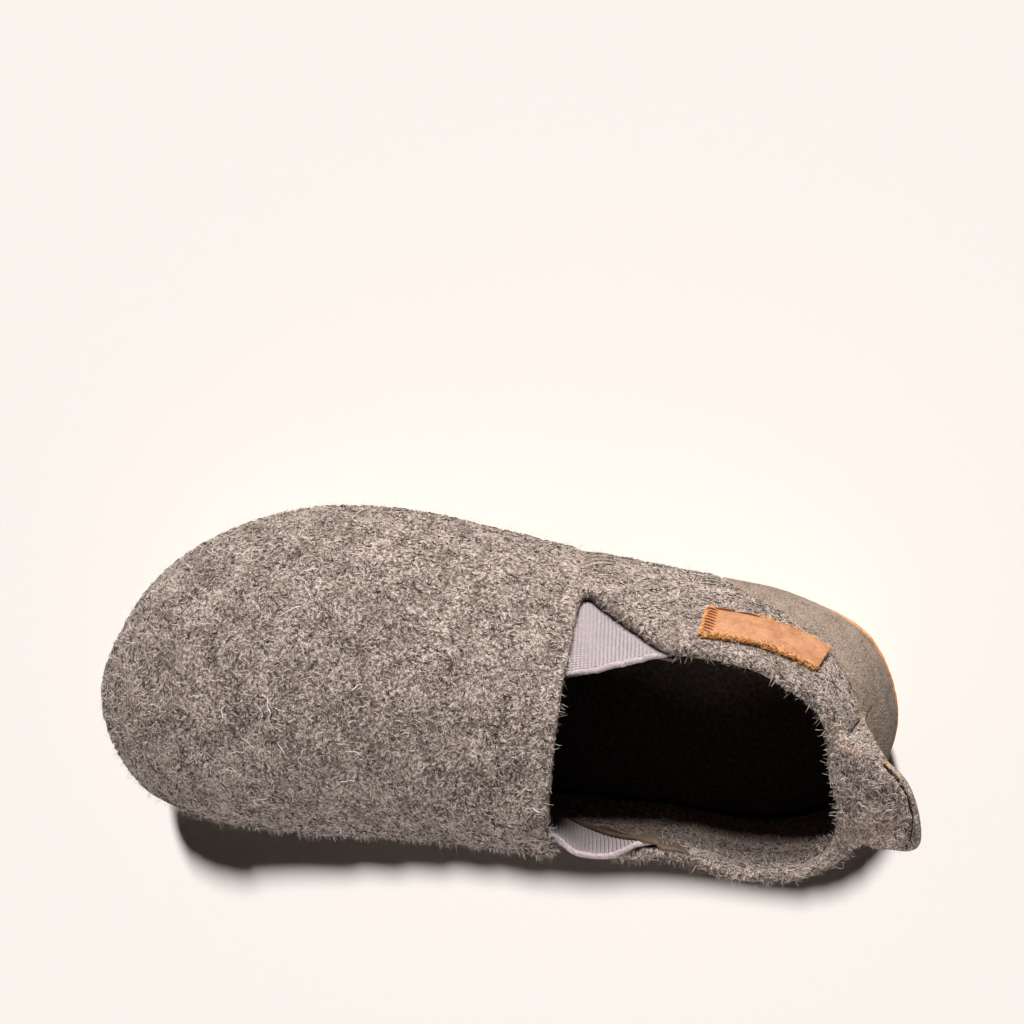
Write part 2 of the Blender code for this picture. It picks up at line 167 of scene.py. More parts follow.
floor_mesh = bpy.data.meshes.new("paper")
half = PAPER_SIDE / 2
corners = [(-half, -half, 0), (half, -half, 0), (half, half, 0), (-half, half, 0)]
floor_mesh.from_pydata(corners, [], [(0, 1, 2, 3)])
floor = bpy.data.objects.new("paper", floor_mesh)
bpy.context.scene.collection.objects.link(floor)

paper, paper_shader = new_material("cream_paper", roughness=1.0, specular=0.0)
paper_shader.inputs["Base Color"].default_value = PAPER_ALBEDO
floor_mesh.materials.append(paper)

WARM_WHITE = (1.0, 0.99, 0.98)


def add_lamp(name, kind, place, way, strength):
    """A lamp at a place that shines a given way."""
    light = bpy.data.lights.new(name, kind)
    light.energy = strength
    light.color = WARM_WHITE
    lamp = bpy.data.objects.new(name, light)
    lamp.location = place
    lamp.rotation_mode = "QUATERNION"
    lamp.rotation_quaternion = way.to_track_quat("-Z", "Y")
    bpy.context.scene.collection.objects.link(lamp)
    return lamp


paper_lit = bpy.data.collections.new("paper_lit")
paper_lit.objects.link(floor)
slipper_lit = bpy.data.collections.new("slipper_lit")
paper_sun = add_lamp("paper_sun", "SUN", -PAPER_WAY, PAPER_WAY, PAPER_STRENGTH)
paper_sun.data.angle = PAPER_SPREAD
paper_sun.light_linking.receiver_collection = paper_lit
paper_shade = bpy.data.collections.new("paper_shade")
paper_sun.light_linking.blocker_collection = paper_shade
key_sun = add_lamp("key_sun", "SUN", -KEY_WAY, KEY_WAY, KEY_STRENGTH)
key_sun.data.angle = KEY_SPREAD
key_sun.light_linking.receiver_collection = slipper_lit
for title, place, watts in (("side_lamp", SIDE_PLACE, SIDE_WATTS), ("fill_lamp", FILL_PLACE, FILL_WATTS)):
    lamp = add_lamp(title, "AREA", place, -place, watts)
    lamp.data.size = LAMP_SIDE
    lamp.light_linking.receiver_collection = slipper_lit

sky = bpy.data.worlds.new("studio")
sky.use_nodes = True
sky_tree = sky.node_tree
sky_tree.nodes.clear()
fill = node(sky_tree, "ShaderNodeBackground", {"Color": (1.0, 0.985, 0.97, 1), "Strength": SKY_STRENGTH})
seen = node(sky_tree, "ShaderNodeBackground", {"Color": PAPER, "Strength": 1.0})
rays = node(sky_tree, "ShaderNodeLightPath")
sight = {0: rays.outputs["Is Camera Ray"], 1: fill.outputs[0], 2: seen.outputs[0]}
both = node(sky_tree, "ShaderNodeMixShader", sight)
node(sky_tree, "ShaderNodeOutputWorld", {"Surface": both.outputs[0]})
bpy.context.scene.world = sky
print("paper", PAPER_SIDE, "m wide, two suns and lamps of", SIDE_WATTS, "and", FILL_WATTS, "W")

# %% [markdown]
# ## From a solid to a soft piece
# A solid from CAD is loose flat triangles. A copy has its points joined, and Remesh with small voxels
# then gives it an even skin whose edges a few rounds of smoothing make soft, as cut felt is. Subdivision
# would round it too, but it follows the CAD's long thin triangles and leaves ripples.

# %% Helpers for pieces
WELD = 0.001 * MM


def add_piece(name, mesh):
    """A new object at the origin that shows the mesh."""
    piece = bpy.data.objects.new(name, mesh)
    bpy.context.scene.collection.objects.link(piece)
    return piece


def merged_copy(solid, name):
    """A copy of a CAD solid as a piece of its own, its triangles joined along their edges."""
    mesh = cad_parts[solid].data.copy()
    mesh.name = name
    mesh.materials.clear()
    shape = bmesh.new()
    shape.from_mesh(mesh)
    bmesh.ops.remove_doubles(shape, verts=shape.verts, dist=WELD)
    shape.to_mesh(mesh)
    shape.free()
    return add_piece(name, mesh)


def make_plain(piece):
    """What the piece's modifiers show becomes its own mesh, and the modifiers go."""
    graph = bpy.context.evaluated_depsgraph_get()
    mesh = bpy.data.meshes.new_from_object(piece.evaluated_get(graph))
    mesh.name = piece.name
    piece.modifiers.clear()
    piece.data = mesh
    return piece


def soft_copy(solid, name, voxel, rounds):
    """A CAD solid with an even skin of voxel size, smoothed a number of times."""
    piece = merged_copy(solid, name)
    skin = piece.modifiers.new("skin", "REMESH")
    skin.mode = "VOXEL"
    skin.voxel_size = voxel
    soften = piece.modifiers.new("soften", "SMOOTH")
    soften.iterations = rounds
    make_plain(piece)
    piece.data.shade_smooth()
    return piece


def points_of(mesh):
    """The mesh's points and their normals, as two arrays of rows."""
    count = len(mesh.vertices)
    places = np.empty(count * 3)
    normals = np.empty(count * 3)
    mesh.vertices.foreach_get("co", places)
    mesh.vertex_normals.foreach_get("vector", normals)
    return places.reshape(-1, 3), normals.reshape(-1, 3)


def store(mesh, name, values):
    """Keep one number for each point, for materials and Geometry Nodes to read."""
    mesh.attributes.new(name, "FLOAT", "POINT").data.foreach_set("value", np.asarray(values, np.float32))


def hit_tree(*meshes):
    """One search tree over the triangles of some meshes, for rays and nearest points."""
    points = []
    faces = []
    for mesh in meshes:
        first = len(points)
        points.extend(v.co.copy() for v in mesh.vertices)
        faces.extend([first + i for i in p.vertices] for p in mesh.polygons)
    return BVHTree.FromPolygons(points, faces)


def solid_tree(*solids):
    """The search tree of some CAD solids."""
    return hit_tree(*(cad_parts[s].data for s in solids))


def triangles(piece):
    """How many triangles the piece has."""
    return sum(len(p.vertices) - 2 for p in piece.data.polygons)


def hand_over(piece, slot, *solids):
    """The piece rides on the slipper and stands for its solids; the slot is not used."""
    slipper_lit.objects.link(piece)
    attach(piece, "root")
    if solids:
        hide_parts(*solids)
    print(piece.name, triangles(piece), "triangles")


# %% [markdown]
# ## The felt shell
# Vamp, quarters and the inside of the pull tab are one thick felt. Real felt is never quite even: it has
# low lumps, the side seams pull a soft trough from each gore down to the sole, and the tab folds where it
# is pulled. These are placed on the smoothed skin, one by one. Each fold is a line of points with a width
# and a depth, and both faces of the cloth near the line move together, as a real fold does.

# %% Felt skin with folds and lumps
FELT_VOXEL = 0.9 * MM
FELT_ROUNDS = 4
LUMP_SIZE = 11 * MM
LUMP_HEIGHT = 0.35 * MM

# Each fold: its points in mm, the way it sinks, its half width and its depth in mm.
FOLDS = {
    "outer_side_seam": ([(-13.2, -30.0, 24), (-12.3, -31.5, 18), (-11.5, -32.5, 8)], (0, 1, 0), 1.3, 0.9),
    "inner_side_seam": ([(-13.2, 29.0, 24), (-12.3, 31.5, 18), (-11.5, 32.5, 8)], (0, -1, 0), 1.3, 0.9),
    "tab_root_outer": ([(-70.8, -13.2, 52.6), (-76.0, -9.8, 58.6)], (-0.3, 0.3, -0.9), 1.8, 1.3),
    "tab_root_inner": (
        [(-73.3, 10.0, 51.3), (-79.2, 7.4, 57.5), (-84.8, 4.2, 62.2)],
        (-0.6, 0, -0.8),
        1.5,
        1.2,
    ),
}

felt = soft_copy("upper", "felt_upper", FELT_VOXEL, FELT_ROUNDS)
places, normals = points_of(felt.data)


def distance_to_line(points, corners):
    """How far each point is from a line through the corners."""
    nearest = np.full(len(points), np.inf)
    for start, end in zip(corners[:-1], corners[1:]):
        run = end - start
        along = np.clip((points - start) @ run / (run @ run), 0, 1)
        gap = np.linalg.norm(points - start - along[:, None] * run, axis=1)
        nearest = np.minimum(nearest, gap)
    return nearest


for corners, way, width, depth in FOLDS.values():
    gap = distance_to_line(places, np.array(corners) * MM)
    sink = depth * MM * np.exp(-((gap / (width * MM)) ** 2))
    places += sink[:, None] * np.array(way) / np.linalg.norm(way)

lumps = np.array([noise.noise(Vector(p) / LUMP_SIZE) for p in places])
places += (LUMP_HEIGHT * lumps)[:, None] * normals
felt.data.vertices.foreach_set("co", places.ravel())
felt.data.update()
print("felt:", len(places), "points,", len(FOLDS), "folds")

# %% [markdown]
# ## Where the felt is open to the light
# The inside of the slipper is given painted shade, and nobody sees wool that lies under the suede. Both are
# worked out here once, by sending rays from each point. The share of rays that leave the slipper is its
# openness. A point with another piece right in front of it is covered. A point that looks across at the
# other wall is inside, and the painted shade on the inner wall there deepens with its distance from the rim
# of the collar.

# %% Openness and cover of the felt
RAY_COUNT = 10
COVER_REACH = 1.6 * MM
START_GAP = 0.4 * MM
OPEN_LOW = 0.05
OPEN_HIGH = 0.25
ACROSS_REACH = 75 * MM
RIM_SLOPE = 0.6
INSIDE_SHADE_START = 18 * MM
INSIDE_SHADE_DEEP = 32 * MM
LEVEL_LEAST = 0.2
SPREAD_ROUNDS = 6

others = solid_tree("heel_counter", "outsole", "insole", "gore_lateral", "gore_medial", "side_tag")
everything = solid_tree(*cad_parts)


def ray_fan(count):
    """Directions spread evenly over a half ball about +Z, as on a sunflower."""
    golden = math.pi * (3 - math.sqrt(5))
    fan = []
    for i in range(count):
        height = math.sqrt(1 - (i + 0.5) / count)
        flat = math.sqrt(1 - height * height)
        fan.append(Vector((flat * math.cos(i * golden), flat * math.sin(i * golden), height)))
    return fan


FAN = ray_fan(RAY_COUNT)
openness = []
cover = []
inside = []
places, normals = points_of(felt.data)
for place, normal in zip(places, normals):
    at = Vector(place)
    out = Vector(normal)
    covered = others.ray_cast(at - out * START_GAP, out, COVER_REACH + START_GAP)[0] is not None
    turn = out.to_track_quat("Z", "X")
    free = sum(everything.ray_cast(at + out * START_GAP, turn @ way)[0] is None for way in FAN)
    level = Vector((out.x, out.y, 0))
    across = everything.ray_cast(at + out * START_GAP, level, ACROSS_REACH)[0]
    openness.append(free / RAY_COUNT)
    cover.append(0.0 if covered else 1.0)
    inside.append(across is not None and level.length > LEVEL_LEAST)

openness = np.clip((np.array(openness) - OPEN_LOW) / (OPEN_HIGH - OPEN_LOW), 0, 1)
inside = np.array(inside)
rim_index = np.flatnonzero((normals[:, 2] > RIM_SLOPE) & (openness > 0.5) & ~inside)
rim = KDTree(len(rim_index))
for i in rim_index:
    rim.insert(places[i], int(i))
rim.balance()
# Painted shade: inside points darken with their depth below the collar's rim.
for i in np.flatnonzero(inside):
    depth = rim.find(places[i])[2]
    lit = (INSIDE_SHADE_DEEP - depth) / (INSIDE_SHADE_DEEP - INSIDE_SHADE_START)
    openness[i] = min(openness[i], max(lit, 0.0))
edges = np.empty(len(felt.data.edges) * 2, np.int64)
felt.data.edges.foreach_get("vertices", edges)
ends = edges.reshape(-1, 2)
for _ in range(SPREAD_ROUNDS):
    total = openness.copy()
    weight = np.ones(len(openness))
    np.add.at(total, ends[:, 0], openness[ends[:, 1]])
    np.add.at(total, ends[:, 1], openness[ends[:, 0]])
    np.add.at(weight, ends.ravel(), 1)
    openness = total / weight
store(felt.data, "openness", openness)
store(felt.data, "wool", np.array(cover) * openness)
print("felt open to the light:", round(float(np.mean(openness)), 2))

# %% [markdown]
# ## The finish of felt
# Pressed wool is a mix of pale and dark fibres, so from a step away it looks like salt and pepper with
# slow, soft patches. One noise makes the tufts, a slower one the patches, and a ramp turns their sum into
# wool colours. The same noises drive the bump. A weak warm sheen stands for the finest fuzz. The openness
# darkens the inside with painted shade.

# %% Material: felt
TUFTS_PER_M = 1300
FIBRES_PER_M = 2900
PATCHES_PER_M = 150


def grained_material(name, roughness, specular):
    """A new material, its tree, its shader and the coordinates that its grain reads."""
    material, shader = new_material(name, roughness, specular)
    tree = material.node_tree
    coords = node(tree, "ShaderNodeTexCoord").outputs["Object"]
    return material, tree, shader, coords


def grain(tree, coords, per_metre, detail=3.0):
    """A noise whose spots come about so many to the metre."""
    inputs = {"Vector": coords, "Scale": per_metre, "Detail": detail, "Roughness": 0.6}
    return node(tree, "ShaderNodeTexNoise", inputs).outputs[0]


def ramp(tree, factor, *stops):
    """A colour ramp through stops of (place, colour)."""
    made = node(tree, "ShaderNodeValToRGB", {"Fac": factor})
    steps = made.color_ramp.elements
    while len(steps) < len(stops):
        steps.new(0.5)
    for step, (place, colour) in zip(steps, stops):
        step.position = place
        step.color = colour
    return made.outputs["Color"]


def blend_sum(tree, *parts):
    """The sum of (share, value) pairs."""
    total = 0.0
    for share, value in parts:
        total = reckon(tree, "ADD", total, reckon(tree, "MULTIPLY", value, share))
    return total


def add_bump(tree, shader, height, depth):
    """Raise the surface by a height from 0 to 1 times the depth."""
    bump = node(tree, "ShaderNodeBump", {"Height": height, "Distance": depth, "Strength": 1.0})
    tree.links.new(bump.outputs["Normal"], shader.inputs["Normal"])


def mix_colour(tree, share, first, second, way="MIX"):
    """Two colours mixed by a share from 0 to 1."""
    inputs = {0: share, 6: first, 7: second}
    return node(tree, "ShaderNodeMix", inputs, data_type="RGBA", blend_type=way).outputs[2]


def attribute(tree, name):
    """A number that was stored for each point of the piece."""
    return node(tree, "ShaderNodeAttribute", attribute_name=name).outputs["Fac"]


DARK_WOOL = paint(52, 44, 40)
GREY_WOOL = paint(106, 94, 87)
PALE_WOOL = paint(169, 155, 147)


def wool_mix(tree, coords):
    """The mottled colour of felt, and its tufts and fibres for the bump."""
    tufts = grain(tree, coords, TUFTS_PER_M, 2.0)
    fibres = grain(tree, coords, FIBRES_PER_M, 2.0)
    patches = grain(tree, coords, PATCHES_PER_M)
    mix = blend_sum(tree, (0.4, tufts), (0.4, fibres), (0.2, patches))
    colour = ramp(tree, mix, (0.40, DARK_WOOL), (0.5, GREY_WOOL), (0.60, PALE_WOOL))
    return colour, tufts, fibres


FELT_SHEEN = 0.2
SHEEN_TINT = paint(238, 218, 204)
PAINTED_INSIDE_SHADE = (0.8, 0.7, 0.66, 1)
FULL_LIGHT = (1, 1, 1, 1)
FELT_RELIEF = 0.9 * MM

felt_finish, tree, shader, coords = grained_material("wool_felt", 0.95, 0.1)
shader.inputs["Sheen Weight"].default_value = FELT_SHEEN
shader.inputs["Sheen Tint"].default_value = SHEEN_TINT
wool_colour, tufts, fibres = wool_mix(tree, coords)
# Painted shade: the openness darkens the inside of the felt.
painted_inside_shade = ramp(tree, attribute(tree, "openness"), (0.0, PAINTED_INSIDE_SHADE), (1.0, FULL_LIGHT))
shaded = mix_colour(tree, 1.0, wool_colour, painted_inside_shade, "MULTIPLY")
tree.links.new(shaded, shader.inputs["Base Color"])
add_bump(tree, shader, blend_sum(tree, (0.6, tufts), (0.4, fibres)), FELT_RELIEF)
felt.data.materials.append(felt_finish)
hand_over(felt, "felt", "upper")

# %% [markdown]
# ## Loose wool
# What makes felt look like wool is the fibres that have worked loose: short curls that lie in all
# directions, pale and dark ones together, and a few long white hairs. Blender's hair system renders as
# strands, which an exported mesh can't keep, so Geometry Nodes make real fibres. Points are strewn over
# the felt, a short line is put on each, turned at random, bent by noise, laid back on the felt with a
# little lift, and swept into a thin three-sided tube. Wool is never mixed evenly, so a slow noise makes
# each batch of fibres denser in some spots and thinner in others.

# %% Geometry Nodes: loose wool
FIBRE_SIDES = 3
MOTTLES_PER_M = 260


def tree_inputs(tree, kinds):
    """Give a Geometry Nodes tree its named inputs and one output; returns each input's identifier."""
    found = {}
    for name, kind in kinds.items():
        found[name] = tree.interface.new_socket(name, in_out="INPUT", socket_type=kind).identifier
    tree.interface.new_socket("Result", in_out="OUTPUT", socket_type="NodeSocketGeometry")
    return found


def reckon_vector(tree, operation, *values):
    """The vector that a Vector Math node gives."""
    return node(tree, "ShaderNodeVectorMath", dict(enumerate(values)), operation=operation).outputs[0]


def scaled(tree, vector, factor):
    """A vector made longer or shorter."""
    return node(tree, "ShaderNodeVectorMath", {0: vector, "Scale": factor}, operation="SCALE").outputs[0]


def chance(tree, low, high, seed, item=None):
    """A random number for each item."""
    inputs = {2: low, 3: high, "Seed": seed}
    if item is not None:
        inputs["ID"] = item
    return node(tree, "FunctionNodeRandomValue", inputs).outputs[1]


def end_tree(tree, geometry, material, smooth=True):
    """Realize what is instanced, give it its material and send it out."""
    real = node(tree, "GeometryNodeRealizeInstances", {"Geometry": geometry}).outputs[0]
    shaded = node(tree, "GeometryNodeSetShadeSmooth", {"Geometry": real, "Shade Smooth": smooth}).outputs[0]
    dressed = node(tree, "GeometryNodeSetMaterial", {"Geometry": shaded, "Material": material}).outputs[0]
    node(tree, "NodeGroupOutput", {0: dressed})


wool_tree = bpy.data.node_groups.new("loose_wool", "GeometryNodeTree")
WOOL_SIZES = ("Per Square Metre", "Shortest", "Longest", "Curl", "Curls Per Metre", "Lift", "Thickness")
WOOL_INPUTS = {
    "Felt": "NodeSocketGeometry",
    **dict.fromkeys(WOOL_SIZES, "NodeSocketFloat"),
    "Points": "NodeSocketInt",
    "Seed": "NodeSocketInt",
    "Finish": "NodeSocketMaterial",
}
WOOL_SOCKETS = tree_inputs(wool_tree, WOOL_INPUTS)
given = node(wool_tree, "NodeGroupInput").outputs
seed = given["Seed"]
mask = node(wool_tree, "GeometryNodeInputNamedAttribute", {"Name": "wool"}, data_type="FLOAT").outputs[0]
mottle_noise = node(
    wool_tree,
    "ShaderNodeTexNoise",
    {"W": seed, "Scale": MOTTLES_PER_M, "Detail": 1.0},
    noise_dimensions="4D",
)
mottle = node(
    wool_tree,
    "ShaderNodeMapRange",
    {"Value": mottle_noise.outputs[0], "From Min": 0.35, "From Max": 0.65, "To Min": 0.2, "To Max": 1.8},
).outputs[0]
most = reckon(wool_tree, "MULTIPLY", mottle, given["Per Square Metre"])
density = reckon(wool_tree, "MULTIPLY", mask, most)
strewn = node(
    wool_tree,
    "GeometryNodeDistributePointsOnFaces",
    {"Mesh": given["Felt"], "Density": density, "Seed": seed},
)
spin = node(
    wool_tree,
    "FunctionNodeAxisAngleToRotation",
    {"Axis": (0, 0, 1), "Angle": chance(wool_tree, 0.0, math.tau, seed)},
)
turned = node(
    wool_tree,
    "FunctionNodeRotateRotation",
    {"Rotation": strewn.outputs["Rotation"], "Rotate By": spin.outputs[0]},
    rotation_space="LOCAL",
)
straight = node(wool_tree, "GeometryNodeCurvePrimitiveLine", {"Start": (-0.5, 0, 0), "End": (0.5, 0, 0)})
fine_line = node(
    wool_tree,
    "GeometryNodeResampleCurve",
    {"Curve": straight.outputs[0], "Count": given["Points"]},
)
placed = node(
    wool_tree,
    "GeometryNodeInstanceOnPoints",
    {
        "Points": strewn.outputs["Points"],
        "Instance": fine_line.outputs[0],
        "Rotation": turned.outputs[0],
        "Scale": chance(wool_tree, given["Shortest"], given["Longest"], seed),
    },
)
lines = node(wool_tree, "GeometryNodeRealizeInstances", {"Geometry": placed.outputs[0]}).outputs[0]

# %% [markdown]
# Each fibre gets a number of its own, and the noise that bends it reads that number as a fourth
# coordinate, so that two fibres side by side curl their own ways. The lift grows along the fibre, so that
# one end stays in the felt.

# %% Geometry Nodes: curl, lift and thickness of the wool
place_now = node(wool_tree, "GeometryNodeInputPosition").outputs[0]
fibre_number = node(wool_tree, "GeometryNodeCurveOfPoint").outputs["Curve Index"]
own = chance(wool_tree, 0.0, 900.0, seed, fibre_number)
bend_noise = node(
    wool_tree,
    "ShaderNodeTexNoise",
    {"Vector": place_now, "W": own, "Scale": given["Curls Per Metre"], "Detail": 1.0},
    noise_dimensions="4D",
)
sway = reckon_vector(wool_tree, "SUBTRACT", bend_noise.outputs[1], (0.5, 0.5, 0.5))
bent = reckon_vector(wool_tree, "ADD", place_now, scaled(wool_tree, sway, given["Curl"]))
nearest = node(wool_tree, "GeometryNodeProximity", {"Geometry": given["Felt"], "Sample Position": bent})
skin_normal = node(wool_tree, "GeometryNodeInputNormal").outputs[0]
facing = node(
    wool_tree,
    "GeometryNodeSampleNearestSurface",
    {"Mesh": given["Felt"], "Value": skin_normal, "Sample Position": bent},
    data_type="FLOAT_VECTOR",
)
lift_share = chance(wool_tree, 0.1, 1.0, seed, fibre_number)
along = node(wool_tree, "GeometryNodeSplineParameter").outputs["Factor"]
rise = reckon(wool_tree, "MULTIPLY", reckon(wool_tree, "MULTIPLY", lift_share, given["Lift"]), along)
raised = scaled(wool_tree, facing.outputs[0], rise)
laid = reckon_vector(wool_tree, "ADD", nearest.outputs["Position"], raised)
curls = node(wool_tree, "GeometryNodeSetPosition", {"Geometry": lines, "Position": laid}).outputs[0]

belly = reckon(wool_tree, "SINE", reckon(wool_tree, "MULTIPLY", along, math.pi))
swell = reckon(wool_tree, "ADD", reckon(wool_tree, "MULTIPLY", belly, 0.65), 0.35)
width_share = chance(wool_tree, 0.6, 1.25, seed, fibre_number)
own_width = reckon(wool_tree, "MULTIPLY", width_share, given["Thickness"])
width = reckon(wool_tree, "MULTIPLY", swell, own_width)
ring = node(wool_tree, "GeometryNodeCurvePrimitiveCircle", {"Resolution": FIBRE_SIDES, "Radius": 0.5})
tubes = node(
    wool_tree,
    "GeometryNodeCurveToMesh",
    {"Curve": curls, "Profile Curve": ring.outputs[0], "Scale": width, "Fill Caps": True},
)
end_tree(wool_tree, tubes.outputs[0], given["Finish"])
print("loose wool tree:", len(wool_tree.nodes), "nodes")

# %% [markdown]
# The fibres come in a few batches, each of one colour of wool: dark ones that lie close, grey ones, pale
# ones that stand a little higher, a thin fuzz that blurs the outline, and a few long white hairs. One
# colour for a batch is right here, because a single fibre is finer than a pixel and the mottling comes
# from the mix.

# %% Batches of wool
FIRST_SEED = 11
WOOL_BATCHES = {
    # name: colour, fibres on a square metre, shortest, longest, curl, curls per metre,
    # lift, thickness, points; lengths in mm
    "wool_dark": (paint(44, 37, 34), 450e3, 0.7, 1.4, 1.5, 900, 0.3, 0.24, 3),
    "wool_grey": (paint(100, 88, 81), 450e3, 0.8, 1.7, 1.8, 900, 0.4, 0.2, 3),
    "wool_pale": (paint(172, 159, 150), 450e3, 0.8, 1.8, 2.0, 900, 0.5, 0.14, 3),
    "wool_fuzz": (paint(203, 191, 182), 430e3, 0.5, 1.2, 1.2, 700, 2.0, 0.07, 3),
    "wool_white_hairs": (paint(226, 218, 211), 4e3, 3.0, 8.0, 6.0, 320, 1.0, 0.12, 14),
}


def nodes_piece(name, mesh, tree, sockets, values):
    """Run a Geometry Nodes tree on a mesh and keep what it makes as a plain piece."""
    piece = add_piece(name, mesh)
    growth = piece.modifiers.new(name, "NODES")
    growth.node_group = tree
    for title, value in values.items():
        growth[sockets[title]] = value
    return make_plain(piece)


def plain_wool(name, colour):
    """Wool of one colour, dull and soft."""
    material, wool_shader = new_material(name, roughness=0.85, specular=0.15)
    wool_shader.inputs["Base Color"].default_value = colour
    return material


WOOL_FINISH = {name: plain_wool(name, batch[0]) for name, batch in WOOL_BATCHES.items()}


def wool_values(batch, seed, finish):
    """The wool tree's inputs for one batch."""
    per_metre, shortest, longest, curl, curl_rate, lift, thickness, points = batch[1:]
    return {
        "Per Square Metre": per_metre,
        "Shortest": shortest * MM,
        "Longest": longest * MM,
        "Curl": curl * MM,
        "Curls Per Metre": float(curl_rate),
        "Lift": lift * MM,
        "Thickness": thickness * MM,
        "Points": points,
        "Seed": seed,
        "Finish": finish,
    }


def grow_wool(mesh, names, title=""):
    """Grow batches of loose wool on a mesh, by its wool attribute."""
    for place, name in enumerate(names):
        values = wool_values(WOOL_BATCHES[name], FIRST_SEED + place, WOOL_FINISH[name])
        hand_over(nodes_piece(title + name, mesh, wool_tree, WOOL_SOCKETS, values), "felt")


grow_wool(felt.data, WOOL_BATCHES)

# %% [markdown]
# ## The suede heel counter
# A sheet of split leather wraps the heel and runs up the back of the pull tab. Its face has a short nap,
# mottled where it is stroked one way and the other, and its cut edge shows the raw tan leather. The edge
# is found by its depth: a ray into the sheet leaves it after a millimetre on the face, but goes on for
# long from the cut edge.

# %% Suede counter
SHARP_ANGLE = math.radians(40)
SHEET_MOST = 2.2 * MM
STEP_IN = 0.02 * MM


def cut_edge_share(piece, solid):
    """For each point, 1 where it lies on the solid's cut edge and 0 on its two faces."""
    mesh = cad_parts[solid].data
    solid_hits = solid_tree(solid)
    depth = []
    for face in mesh.polygons:
        start = face.center - face.normal * STEP_IN
        leave = solid_hits.ray_cast(start, -face.normal)[3]
        depth.append(leave or 0.0)
    shares = []
    for vertex in piece.data.vertices:
        face = solid_hits.find_nearest(vertex.co)[2]
        shares.append(1.0 if depth[face] > SHEET_MOST else 0.0)
    return shares


def fine_copy(solid, name, levels):
    """A CAD solid with its own faces split finer and its corners kept, for a sheet too thin to remesh."""
    piece = merged_copy(solid, name)
    split = piece.modifiers.new("split", "SUBSURF")
    split.subdivision_type = "SIMPLE"
    split.levels = levels
    soften = piece.modifiers.new("soften", "SMOOTH")
    soften.iterations = 2
    make_plain(piece)
    piece.data.shade_smooth()
    piece.data.set_sharp_from_angle(angle=SHARP_ANGLE)
    return piece


counter = fine_copy("heel_counter", "suede_counter", 2)
counter_edge = np.array(cut_edge_share(counter, "heel_counter"))
store(counter.data, "cut_edge", counter_edge)

# %% [markdown]
# On the pull tab the felt reaches to the very edge of the sheet, and only the suede's cut edge shows at
# its end. So the front of the sheet is felted there, and at the tab's root its sides too: they take the
# felt's colours, and loose wool grows on them. The front is found by its direction, since it looks at a
# point above the opening.

# %% Felted front of the tab
TAB_FROM = 46 * MM
ABOVE_OPENING = np.array((-60, -1, 75)) * MM
FRONT_LEAST = 0.25
ROOT_BEHIND = -70 * MM
ROOT_HALF = 12 * MM
ROOT_HEIGHTS = (38 * MM, 58 * MM)
SIDE_LEAST = 0.6

places, normals = points_of(counter.data)
sight = ABOVE_OPENING - places
sight /= np.linalg.norm(sight, axis=1)[:, None]
heights = places[:, 2]
on_front = ((sight * normals).sum(axis=1) > FRONT_LEAST) & (heights > TAB_FROM) & (counter_edge < 0.5)
at_root = (places[:, 0] < ROOT_BEHIND) & (np.abs(places[:, 1]) < ROOT_HALF)
at_root &= (heights > ROOT_HEIGHTS[0]) & (heights < ROOT_HEIGHTS[1])
felted = on_front | (at_root & (np.abs(normals[:, 1]) > SIDE_LEAST))
upper_hits = solid_tree("upper")
bare = []
for place, normal, wanted in zip(places, normals, felted):
    out = Vector(normal)
    start = Vector(place) - out * START_GAP
    covered = wanted and upper_hits.ray_cast(start, out, COVER_REACH + START_GAP)[0]
    bare.append(1.0 if wanted and not covered else 0.0)
store(counter.data, "felted", felted)
store(counter.data, "wool", bare)
print("felted points of the tab:", int(felted.sum()), "of them bare:", int(sum(bare)))
grow_wool(counter.data, ("wool_dark", "wool_grey", "wool_pale", "wool_fuzz"), "tab_")

# %% Material: suede
suede_finish, tree, shader, coords = grained_material("taupe_suede", 0.92, 0.12)
nap = grain(tree, coords, 2100, 2.0)
strokes = grain(tree, coords, 260, 2.0)
mix = blend_sum(tree, (0.75, nap), (0.25, strokes))
SUEDE_DARK = paint(69, 60, 53)
SUEDE_MID = paint(105, 92, 82)
SUEDE_PALE = paint(129, 114, 103)
suede_colour = ramp(tree, mix, (0.38, SUEDE_DARK), (0.48, SUEDE_MID), (0.64, SUEDE_PALE))
RAW_TAN = paint(140, 116, 90)
with_edge = mix_colour(tree, attribute(tree, "cut_edge"), suede_colour, RAW_TAN)
tab_colour = wool_mix(tree, coords)[0]
with_felt = mix_colour(tree, attribute(tree, "felted"), with_edge, tab_colour)
tree.links.new(with_felt, shader.inputs["Base Color"])
add_bump(tree, shader, nap, 0.35 * MM)
counter.data.materials.append(suede_finish)
hand_over(counter, "suede", "heel_counter")

# %% [markdown]
# ## The elastic gores
# Each gore is a wedge of ribbed webbing sewn behind a notch in the felt. Its ground is a thin grey band,
# and its ribs are columns of small knit loops. A bump could draw the ribs, but loops that stand out catch
# the light as knitting does.

# %% Webbing ground
WEBBING_VOXEL = 0.45 * MM
SIDES = {"lateral": -1, "medial": 1}
WEB_STOPS = ((0.35, paint(116, 106, 108)), (0.65, paint(142, 131, 133)))


def one_grain(name, finish, per_metre, detail, stops, depth=0.0):
    """A material whose one grain gives colour and bump; finish is its roughness and specular level."""
    material, tree, shader, coords = grained_material(name, *finish)
    spots = grain(tree, coords, per_metre, detail)
    colour = ramp(tree, spots, *stops)
    tree.links.new(colour, shader.inputs["Base Color"])
    if depth:
        add_bump(tree, shader, spots, depth)
    return material, colour


web_finish = one_grain("webbing_ground", (0.8, 0.2), 1500, 2.0, WEB_STOPS, 0.2 * MM)[0]
gores = {}
for side in SIDES:
    gore = soft_copy("gore_" + side, "webbing_" + side, WEBBING_VOXEL, 2)
    gore.data.materials.append(web_finish)
    hand_over(gore, "elastic", "gore_" + side)
    gores[side] = gore

